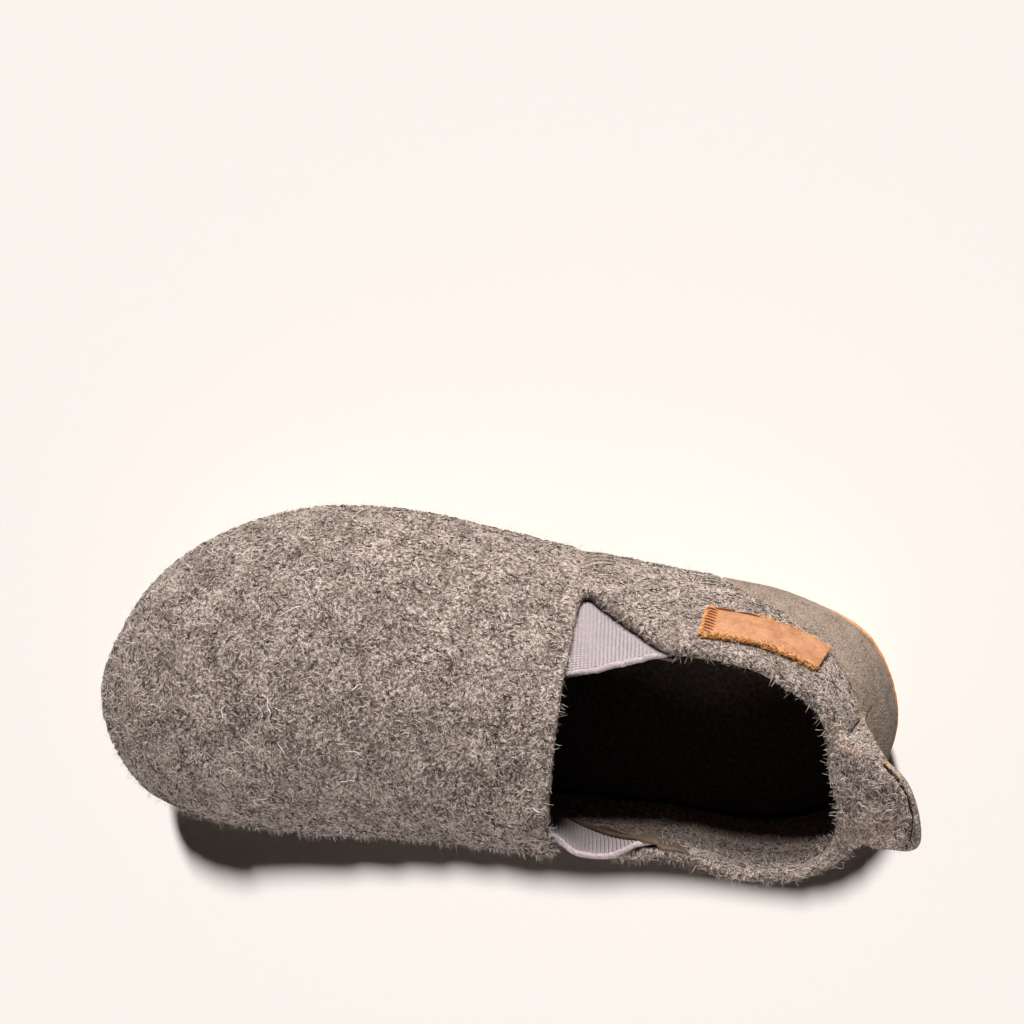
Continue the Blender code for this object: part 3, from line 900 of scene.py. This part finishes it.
# %% [markdown]
# The loops stand in columns, both outside and inside. Rays sent square to the shoe's side find the
# webbing's face on a grid, and one tree puts a small flattened ball on each point it found, turned to the
# face. The columns lean back a little, as the webbing was cut. Points that the felt hides get none.

# %% Geometry Nodes: knit loops
RIB_PITCH = 0.8 * MM
LOOP_PITCH = 0.56 * MM
LOOP_SIZE = (0.41 * MM, 0.31 * MM, 0.24 * MM)
RIB_LEAN = -0.13
FAR_OUT = 80 * MM
FELT_COVER = 1.2 * MM
FACE_LEAST = 0.3

loop_tree = bpy.data.node_groups.new("knit_loops", "GeometryNodeTree")
LOOP_INPUTS = {
    "Points": "NodeSocketGeometry",
    "Size": "NodeSocketVector",
    "Finish": "NodeSocketMaterial",
}
LOOP_SOCKETS = tree_inputs(loop_tree, LOOP_INPUTS)
given = node(loop_tree, "NodeGroupInput").outputs
ball = node(loop_tree, "GeometryNodeMeshUVSphere", {"Segments": 5, "Rings": 3, "Radius": 1.0})
face_way = node(loop_tree, "GeometryNodeInputNamedAttribute", {"Name": "facing"}, data_type="FLOAT_VECTOR")
upright = node(loop_tree, "FunctionNodeAlignRotationToVector", {"Vector": face_way.outputs[0]}, axis="Z")
ribwise = node(
    loop_tree,
    "FunctionNodeAlignRotationToVector",
    {"Rotation": upright.outputs[0], "Vector": (0, 0, 1)},
    axis="Y",
    pivot_axis="Z",
)
loops = node(
    loop_tree,
    "GeometryNodeInstanceOnPoints",
    {
        "Points": given["Points"],
        "Instance": ball.outputs[0],
        "Rotation": ribwise.outputs[0],
        "Scale": given["Size"],
    },
)
end_tree(loop_tree, loops.outputs[0], given["Finish"])

# %% Knit loops on both faces of the gores
# The inner gore's knit is coloured darker than the outer one: painted shade, standing for the shade of the
# vamp.
KNIT_COLOURS_MEDIAL_SHADED = {"lateral": paint(151, 141, 142), "medial": paint(118, 108, 109)}


def points_mesh(name, rows):
    """A mesh of loose points, each with the way it faces."""
    mesh = bpy.data.meshes.new(name)
    mesh.from_pydata([place for place, facing in rows], [], [])
    ways = mesh.attributes.new("facing", "FLOAT_VECTOR", "POINT")
    ways.data.foreach_set("vector", np.array([tuple(facing) for place, facing in rows], np.float32).ravel())
    return mesh


for side, sign in SIDES.items():
    low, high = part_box("gore_" + side)
    web_hits = hit_tree(gores[side].data)
    rows = []
    for start_y, way in ((sign * FAR_OUT, -sign), (0.0, sign)):
        for x in np.arange(low.x, high.x, RIB_PITCH):
            for z in np.arange(low.z, high.z, LOOP_PITCH):
                start = Vector((x + RIB_LEAN * (z - high.z), start_y, z))
                place, facing = web_hits.ray_cast(start, Vector((0, way, 0)))[:2]
                if place is None or abs(facing.y) < FACE_LEAST:
                    continue
                if upper_hits.ray_cast(place, facing, FELT_COVER)[0] is None:
                    rows.append((place, facing))
    values = {"Size": LOOP_SIZE, "Finish": plain_wool("knit_" + side, KNIT_COLOURS_MEDIAL_SHADED[side])}
    knit = nodes_piece("knit_" + side, points_mesh("knit_" + side, rows), loop_tree, LOOP_SOCKETS, values)
    hand_over(knit, "elastic")

# %% [markdown]
# ## The selvedge
# The top of the webbing is a firm woven edge, a smooth pinkish cord. It follows the highest points of the
# gore from the vamp to the quarter. A curve with a round bevel gives the cord, and becomes a mesh at the
# end.

# %% Selvedge cords
SELVEDGE_RADIUS = 0.62 * MM
CORD_STEP = 0.6 * MM
CORD_STOPS = ((0.3, paint(124, 112, 115)), (0.7, paint(160, 146, 149)))

selvedge_finish = one_grain("selvedge", (0.7, 0.2), 1900, 1.0, CORD_STOPS, 0.15 * MM)[0]


def tube(name, path, radius):
    """A closed round tube along a path."""
    curve = bpy.data.curves.new(name, "CURVE")
    curve.dimensions = "3D"
    curve.bevel_depth = radius
    curve.bevel_resolution = 1
    curve.use_fill_caps = True
    spline = curve.splines.new("POLY")
    spline.points.add(len(path) - 1)
    for point, place in zip(spline.points, path):
        point.co = (*place, 1)
    holder = bpy.data.objects.new(name, curve)
    bpy.context.scene.collection.objects.link(holder)
    graph = bpy.context.evaluated_depsgraph_get()
    mesh = bpy.data.meshes.new_from_object(holder.evaluated_get(graph))
    bpy.data.objects.remove(holder)
    mesh.name = name
    mesh.materials.clear()
    mesh.shade_smooth()
    return add_piece(name, mesh)


for side, sign in SIDES.items():
    low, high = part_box("gore_" + side)
    web_hits = hit_tree(gores[side].data)
    path = []
    for x in np.arange(low.x, high.x, CORD_STEP):
        for z in np.arange(high.z, low.z, -0.1 * MM):
            outer = web_hits.ray_cast(Vector((x, sign * FAR_OUT, z)), Vector((0, -sign, 0)))[0]
            inner = web_hits.ray_cast(Vector((x, 0, z)), Vector((0, sign, 0)))[0]
            if outer is not None and inner is not None:
                path.append((x, (outer.y + inner.y) / 2, z))
                break
    selvedge = tube("selvedge_" + side, path, SELVEDGE_RADIUS)
    selvedge.data.materials.append(selvedge_finish)
    hand_over(selvedge, "elastic")

# %% [markdown]
# ## Leather facings
# Inside each quarter a strip of brown leather backs the slanting seam of the gore and reaches up to the
# collar, where its edge just shows. Its shape is a grid in side view, from the collar's corner down to
# the foot of the notch. Rays from the middle of the shoe lay it on the inner wall, and Solidify gives it
# thickness.

# %% Facings
FACING_TOP = (-32.4 * MM, -43.5 * MM)
FACING_FOOT = (-15.0 * MM, -23.0 * MM)
FOOT_HEIGHT = 24.0 * MM
CORNER_FRONT = (-31.8 * MM, 47.0 * MM)
CORNER_REAR = (-35.2 * MM, 49.7 * MM)
FACING_PROUD = {"lateral": -0.9 * MM, "medial": 0.1 * MM}
FACING_GAP = 0.15 * MM
FACING_THICK = 0.7 * MM
FACING_STEPS = 24
WALL_LIMIT = 45.5 * MM

facing_finish, tree, shader, coords = grained_material("brown_leather", 0.6, 0.3)
pores = grain(tree, coords, 1300, 3.0)
stains = grain(tree, coords, 160, 2.0)
hide = blend_sum(tree, (0.5, pores), (0.5, stains))
hide_colour = ramp(tree, hide, (0.35, paint(50, 39, 31)), (0.65, paint(86, 68, 54)))
tree.links.new(hide_colour, shader.inputs["Base Color"])
add_bump(tree, shader, pores, 0.25 * MM)


def between(pair, share):
    """The value that lies a share of the way from the first to the second."""
    return pair[0] + share * (pair[1] - pair[0])


def grid_mesh(name, rows, flip):
    """A mesh of quads over rows of points."""
    across = len(rows[0])
    faces = []
    for i in range(len(rows) - 1):
        for j in range(across - 1):
            a = i * across + j
            quad = (a, a + 1, a + across + 1, a + across)
            faces.append(quad[::-1] if flip else quad)
    mesh = bpy.data.meshes.new(name)
    mesh.from_pydata([p for row in rows for p in row], [], faces)
    return mesh


for side, sign in SIDES.items():
    wall_hits = hit_tree(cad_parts["upper"].data, gores[side].data)
    rows = []
    for i in range(FACING_STEPS + 1):
        down = i / FACING_STEPS
        row = []
        for j in range(FACING_STEPS + 1):
            over = j / FACING_STEPS
            top_x = between(FACING_TOP, over)
            corner_run = (-CORNER_FRONT[0], -CORNER_REAR[0])
            top_z = np.interp(-top_x, corner_run, (CORNER_FRONT[1], CORNER_REAR[1]))
            x = between((top_x, between(FACING_FOOT, over)), down)
            z = between((top_z + FACING_PROUD[side], FOOT_HEIGHT), down)
            wall = wall_hits.ray_cast(Vector((x, 0, min(z, WALL_LIMIT))), Vector((0, sign, 0)))[0]
            row.append((x, wall.y - sign * (FACING_GAP + FACING_THICK / 2), z))
        rows.append(row)
    facing_piece = add_piece("facing_" + side, grid_mesh("facing_" + side, rows, flip=sign < 0))
    ease = facing_piece.modifiers.new("ease", "SMOOTH")
    ease.iterations = 3
    thick = facing_piece.modifiers.new("thick", "SOLIDIFY")
    thick.thickness = FACING_THICK
    thick.offset = 0
    make_plain(facing_piece)
    facing_piece.data.shade_smooth()
    facing_piece.data.materials.append(facing_finish)
    hand_over(facing_piece, "tag_leather")

# %% [markdown]
# ## The leather tag
# A plain strip of tan split leather is sewn to the outer quarter. Its face is smooth with fine pores, its
# cut edges are pale and stringy, and thread binds its front end. The face and the edges are one piece
# with two colours; the fibres of the edge are grown by the same tree as the wool, from the cut edge
# alone.

# %% Tag leather
TAG_VOXEL = 0.3 * MM

tag = soft_copy("side_tag", "tag_leather", TAG_VOXEL, 2)
tag_edge = np.array(cut_edge_share(tag, "side_tag"))
store(tag.data, "cut_edge", tag_edge)
store(tag.data, "wool", tag_edge)

tag_finish, tree, shader, coords = grained_material("tan_leather", 0.62, 0.3)
pores = grain(tree, coords, 1500, 3.0)
rubs = grain(tree, coords, 260, 3.0)
hide = blend_sum(tree, (0.45, pores), (0.55, rubs))
TAG_DARK = paint(112, 70, 44)
TAG_MID = paint(138, 94, 63)
TAG_PALE = paint(154, 109, 76)
hide_colour = ramp(tree, hide, (0.34, TAG_DARK), (0.5, TAG_MID), (0.66, TAG_PALE))
RAW_EDGE = paint(160, 108, 66)
with_edge = mix_colour(tree, attribute(tree, "cut_edge"), hide_colour, RAW_EDGE)
tree.links.new(with_edge, shader.inputs["Base Color"])
add_bump(tree, shader, blend_sum(tree, (0.6, pores), (0.4, rubs)), 0.3 * MM)
tag.data.materials.append(tag_finish)
hand_over(tag, "tag_leather", "side_tag")

# %% Raw fibres of the tag's cut edge
RAW_HIDE = (paint(206, 152, 98), 14e6, 0.6, 1.8, 1.4, 900, 0.8, 0.16, 5)
HIDE_SEED = 31

values = wool_values(RAW_HIDE, HIDE_SEED, plain_wool("raw_hide_fibres", RAW_HIDE[0]))
raw_edge = nodes_piece("tag_raw_fibres", tag.data, wool_tree, WOOL_SOCKETS, values)
hand_over(raw_edge, "tag_leather")

# %% [markdown]
# ## Thread
# Thread shows in three places: it binds the front end and part of an edge of the tag, it crosses the side
# seams near the sole, and it holds the front edges of the counter. The dark thread along the tag's edge
# also stands for painted shadow in the gap under that edge. Each stitch is a short line of points
# that rays lay on the slipper's side, its ends sunk a little. One tree sweeps all the lines of one colour
# into round thread.

# %% Geometry Nodes: thread
THREAD_SIDES = 5
STITCH_STEPS = 6
STITCH_SINK = 0.15 * MM

thread_tree = bpy.data.node_groups.new("thread", "GeometryNodeTree")
THREAD_INPUTS = {
    "Lines": "NodeSocketGeometry",
    "Thickness": "NodeSocketFloat",
    "Finish": "NodeSocketMaterial",
}
THREAD_SOCKETS = tree_inputs(thread_tree, THREAD_INPUTS)
given = node(thread_tree, "NodeGroupInput").outputs
strands = node(thread_tree, "GeometryNodeMeshToCurve", {"Mesh": given["Lines"]})
ring = node(thread_tree, "GeometryNodeCurvePrimitiveCircle", {"Resolution": THREAD_SIDES, "Radius": 0.5})
swept = node(
    thread_tree,
    "GeometryNodeCurveToMesh",
    {
        "Curve": strands.outputs[0],
        "Profile Curve": ring.outputs[0],
        "Scale": given["Thickness"],
        "Fill Caps": True,
    },
)
end_tree(thread_tree, swept.outputs[0], given["Finish"])


def stitch_lines(name, stitches, hits, lift):
    """A mesh of lines laid on the slipper: each stitch has a side and two places in side view, in mm."""
    points = []
    lines = []
    for sign, begin, finish in stitches:
        for i in range(STITCH_STEPS + 1):
            share = i / STITCH_STEPS
            x = between((begin[0], finish[0]), share) * MM
            z = between((begin[1], finish[1]), share) * MM
            place, facing = hits.ray_cast(Vector((x, sign * FAR_OUT, z)), Vector((0, -sign, 0)))[:2]
            bow = (lift + STITCH_SINK) * math.sin(math.pi * share) ** 0.5 - STITCH_SINK
            if i:
                lines.append((len(points) - 1, len(points)))
            points.append(place + facing * bow)
    mesh = bpy.data.meshes.new(name)
    mesh.from_pydata(points, lines, [])
    return mesh


# %% Stitches on the tag, the side seams and the counter
def sew(name, slot, stitches, hits, lift, thickness, colour):
    """Sweep stitches into thread of one colour and hand the piece over."""
    lines = stitch_lines(name, stitches, hits, lift)
    values = {"Thickness": thickness, "Finish": plain_wool(name, colour)}
    hand_over(nodes_piece(name, lines, thread_tree, THREAD_SOCKETS, values), slot)


TAG_PITCH = 1.35
SEAM_THREAD = paint(120, 113, 102)

tag_stitches = [(-1, (-39.9, 34.2 + TAG_PITCH * k), (-43.3, 35.0 + TAG_PITCH * k)) for k in range(9)]
tag_hits = hit_tree(tag.data, felt.data)
sew("tag_thread", "tag_leather", tag_stitches, tag_hits, 0.3 * MM, 0.38 * MM, paint(150, 92, 52))
# Dark thread along part of the tag's lower edge: partly thread, partly painted shadow of the gap under the
# edge.
tag_thread_and_shadow_line = [(-1, (-41.5, 34.0), (-46.8, 33.6)), (-1, (-46.8, 33.6), (-52.0, 33.2))]
sew("tag_edge_thread_and_shadow", "tag_leather", tag_thread_and_shadow_line, tag_hits, 0.15 * MM, 0.45 * MM, paint(92, 52, 30))
seam_stitches = []
counter_stitches = []
for sign in SIDES.values():
    for k in range(5):
        seam_stitches.append((sign, (-12.0, 20.0 - 2.8 * k), (-19.4, 14.8 - 2.3 * k)))
    for k in range(4):
        counter_stitches.append((sign, (-37.0, 16.0 - 2.2 * k), (-42.5, 15.0 - 2.2 * k)))
sew("seam_thread", "felt", seam_stitches, hit_tree(felt.data), 0.35 * MM, 0.32 * MM, SEAM_THREAD)
counter_hits = hit_tree(counter.data, felt.data)
sew("counter_thread", "suede", counter_stitches, counter_hits, 0.3 * MM, 0.32 * MM, SEAM_THREAD)

# %% [markdown]
# ## The sole and the insole
# The sole is thin gum rubber, matt and a little mottled, and the insole a dark felt sock. Both keep their
# solids' shapes with softened edges. The suede bulges over the sole along the sides, so the sole's side
# is drawn in there, and its tan edge shows only round the heel's back. Its upward-facing top, under the
# felt, is coloured dark.

# %% Sole and insole
DRAWN_IN = 0.9 * MM
DRAWN_FROM = -74 * MM
DRAWN_FULL = -62 * MM
TREAD_DEEP = 0.8 * MM
SOLE_VOXEL = 0.85 * MM

sole = soft_copy("outsole", "rubber_sole", SOLE_VOXEL, 2)
places, normals = points_of(sole.data)
share = np.interp(places[:, 0], (DRAWN_FROM, DRAWN_FULL), (0, 1))
places[:, :2] -= (DRAWN_IN * share)[:, None] * normals[:, :2]
places[:, 2] += TREAD_DEEP * np.clip((-normals[:, 2] - 0.2) / 0.7, 0, 1)
sole.data.vertices.foreach_set("co", places.ravel())
store(sole.data, "faces_up", np.clip((normals[:, 2] - 0.4) / 0.3, 0, 1))
ease = sole.modifiers.new("ease", "SMOOTH")
ease.iterations = 4
make_plain(sole)
sole.data.shade_smooth()

RUBBER = (0.75, 0.3)
CRUMBS_PER_M = 900
GUM_STOPS = ((0.35, paint(140, 96, 58)), (0.65, paint(166, 122, 80)))
TOP_DARK = paint(26, 22, 20)

sole_finish, gum_colour = one_grain("gum_rubber", RUBBER, CRUMBS_PER_M, 3.0, GUM_STOPS, 0.2 * MM)
tree = sole_finish.node_tree
# The sole's upward-facing top is coloured dark.
with_dark_top = mix_colour(tree, attribute(tree, "faces_up"), gum_colour, TOP_DARK)
tree.links.new(with_dark_top, tree.nodes["Principled BSDF"].inputs["Base Color"])
sole.data.materials.append(sole_finish)
hand_over(sole, "sole_rubber", "outsole")

# %% [markdown]
# The tread is a field of small lozenges. The underside was raised by their height, so they bring the sole
# back down to its old level. Rays from below find where the sole is, and a lozenge grows where it has
# room all round.

# %% Geometry Nodes: tread
TREAD_PITCH = 4.0 * MM
LOZENGE_RADIUS = 1.7 * MM
LOZENGE_ROOM = 2.6 * MM
BELOW = -20 * MM

tread_tree = bpy.data.node_groups.new("tread", "GeometryNodeTree")
TREAD_SOCKETS = tree_inputs(tread_tree, LOOP_INPUTS)
given = node(tread_tree, "NodeGroupInput").outputs
lozenge = node(tread_tree, "GeometryNodeMeshCylinder", {"Vertices": 4, "Radius": 1.0, "Depth": 1.0})
lozenges = node(
    tread_tree,
    "GeometryNodeInstanceOnPoints",
    {"Points": given["Points"], "Instance": lozenge.outputs[0], "Scale": given["Size"]},
)
end_tree(tread_tree, lozenges.outputs[0], given["Finish"], smooth=False)

low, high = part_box("outsole")
sole_hits = hit_tree(sole.data)
UP = Vector((0, 0, 1))
rows = []
for i, x in enumerate(np.arange(low.x, high.x, TREAD_PITCH / 2)):
    for y in np.arange(low.y + (i % 2) * TREAD_PITCH / 2, high.y, TREAD_PITCH):
        place, facing = sole_hits.ray_cast(Vector((x, y, BELOW)), UP)[:2]
        ring_hits = []
        for dx, dy in ((1, 0), (-1, 0), (0, 1), (0, -1)):
            start = Vector((x + dx * LOZENGE_ROOM, y + dy * LOZENGE_ROOM, BELOW))
            ring_hits.append(sole_hits.ray_cast(start, UP)[0])
        if place is not None and None not in ring_hits:
            rows.append((place - UP * TREAD_DEEP / 2, facing))
tread_finish = one_grain("tread_rubber", RUBBER, CRUMBS_PER_M, 3.0, GUM_STOPS)[0]
values = {"Size": (LOZENGE_RADIUS, LOZENGE_RADIUS, TREAD_DEEP), "Finish": tread_finish}
tread = nodes_piece("sole_tread", points_mesh("sole_tread", rows), tread_tree, TREAD_SOCKETS, values)
hand_over(tread, "sole_rubber")

# %% Insole
INSOLE_VOXEL = 1.5 * MM
PILE_STOPS = ((0.35, paint(56, 49, 45)), (0.65, paint(84, 74, 68)))

insole = soft_copy("insole", "felt_insole", INSOLE_VOXEL, 6)
insole_finish = one_grain("dark_felt", (0.95, 0.1), 1100, 3.0, PILE_STOPS, 0.5 * MM)[0]
insole.data.materials.append(insole_finish)
paper_shade.objects.link(insole)
hand_over(insole, "insole_felt", "insole")
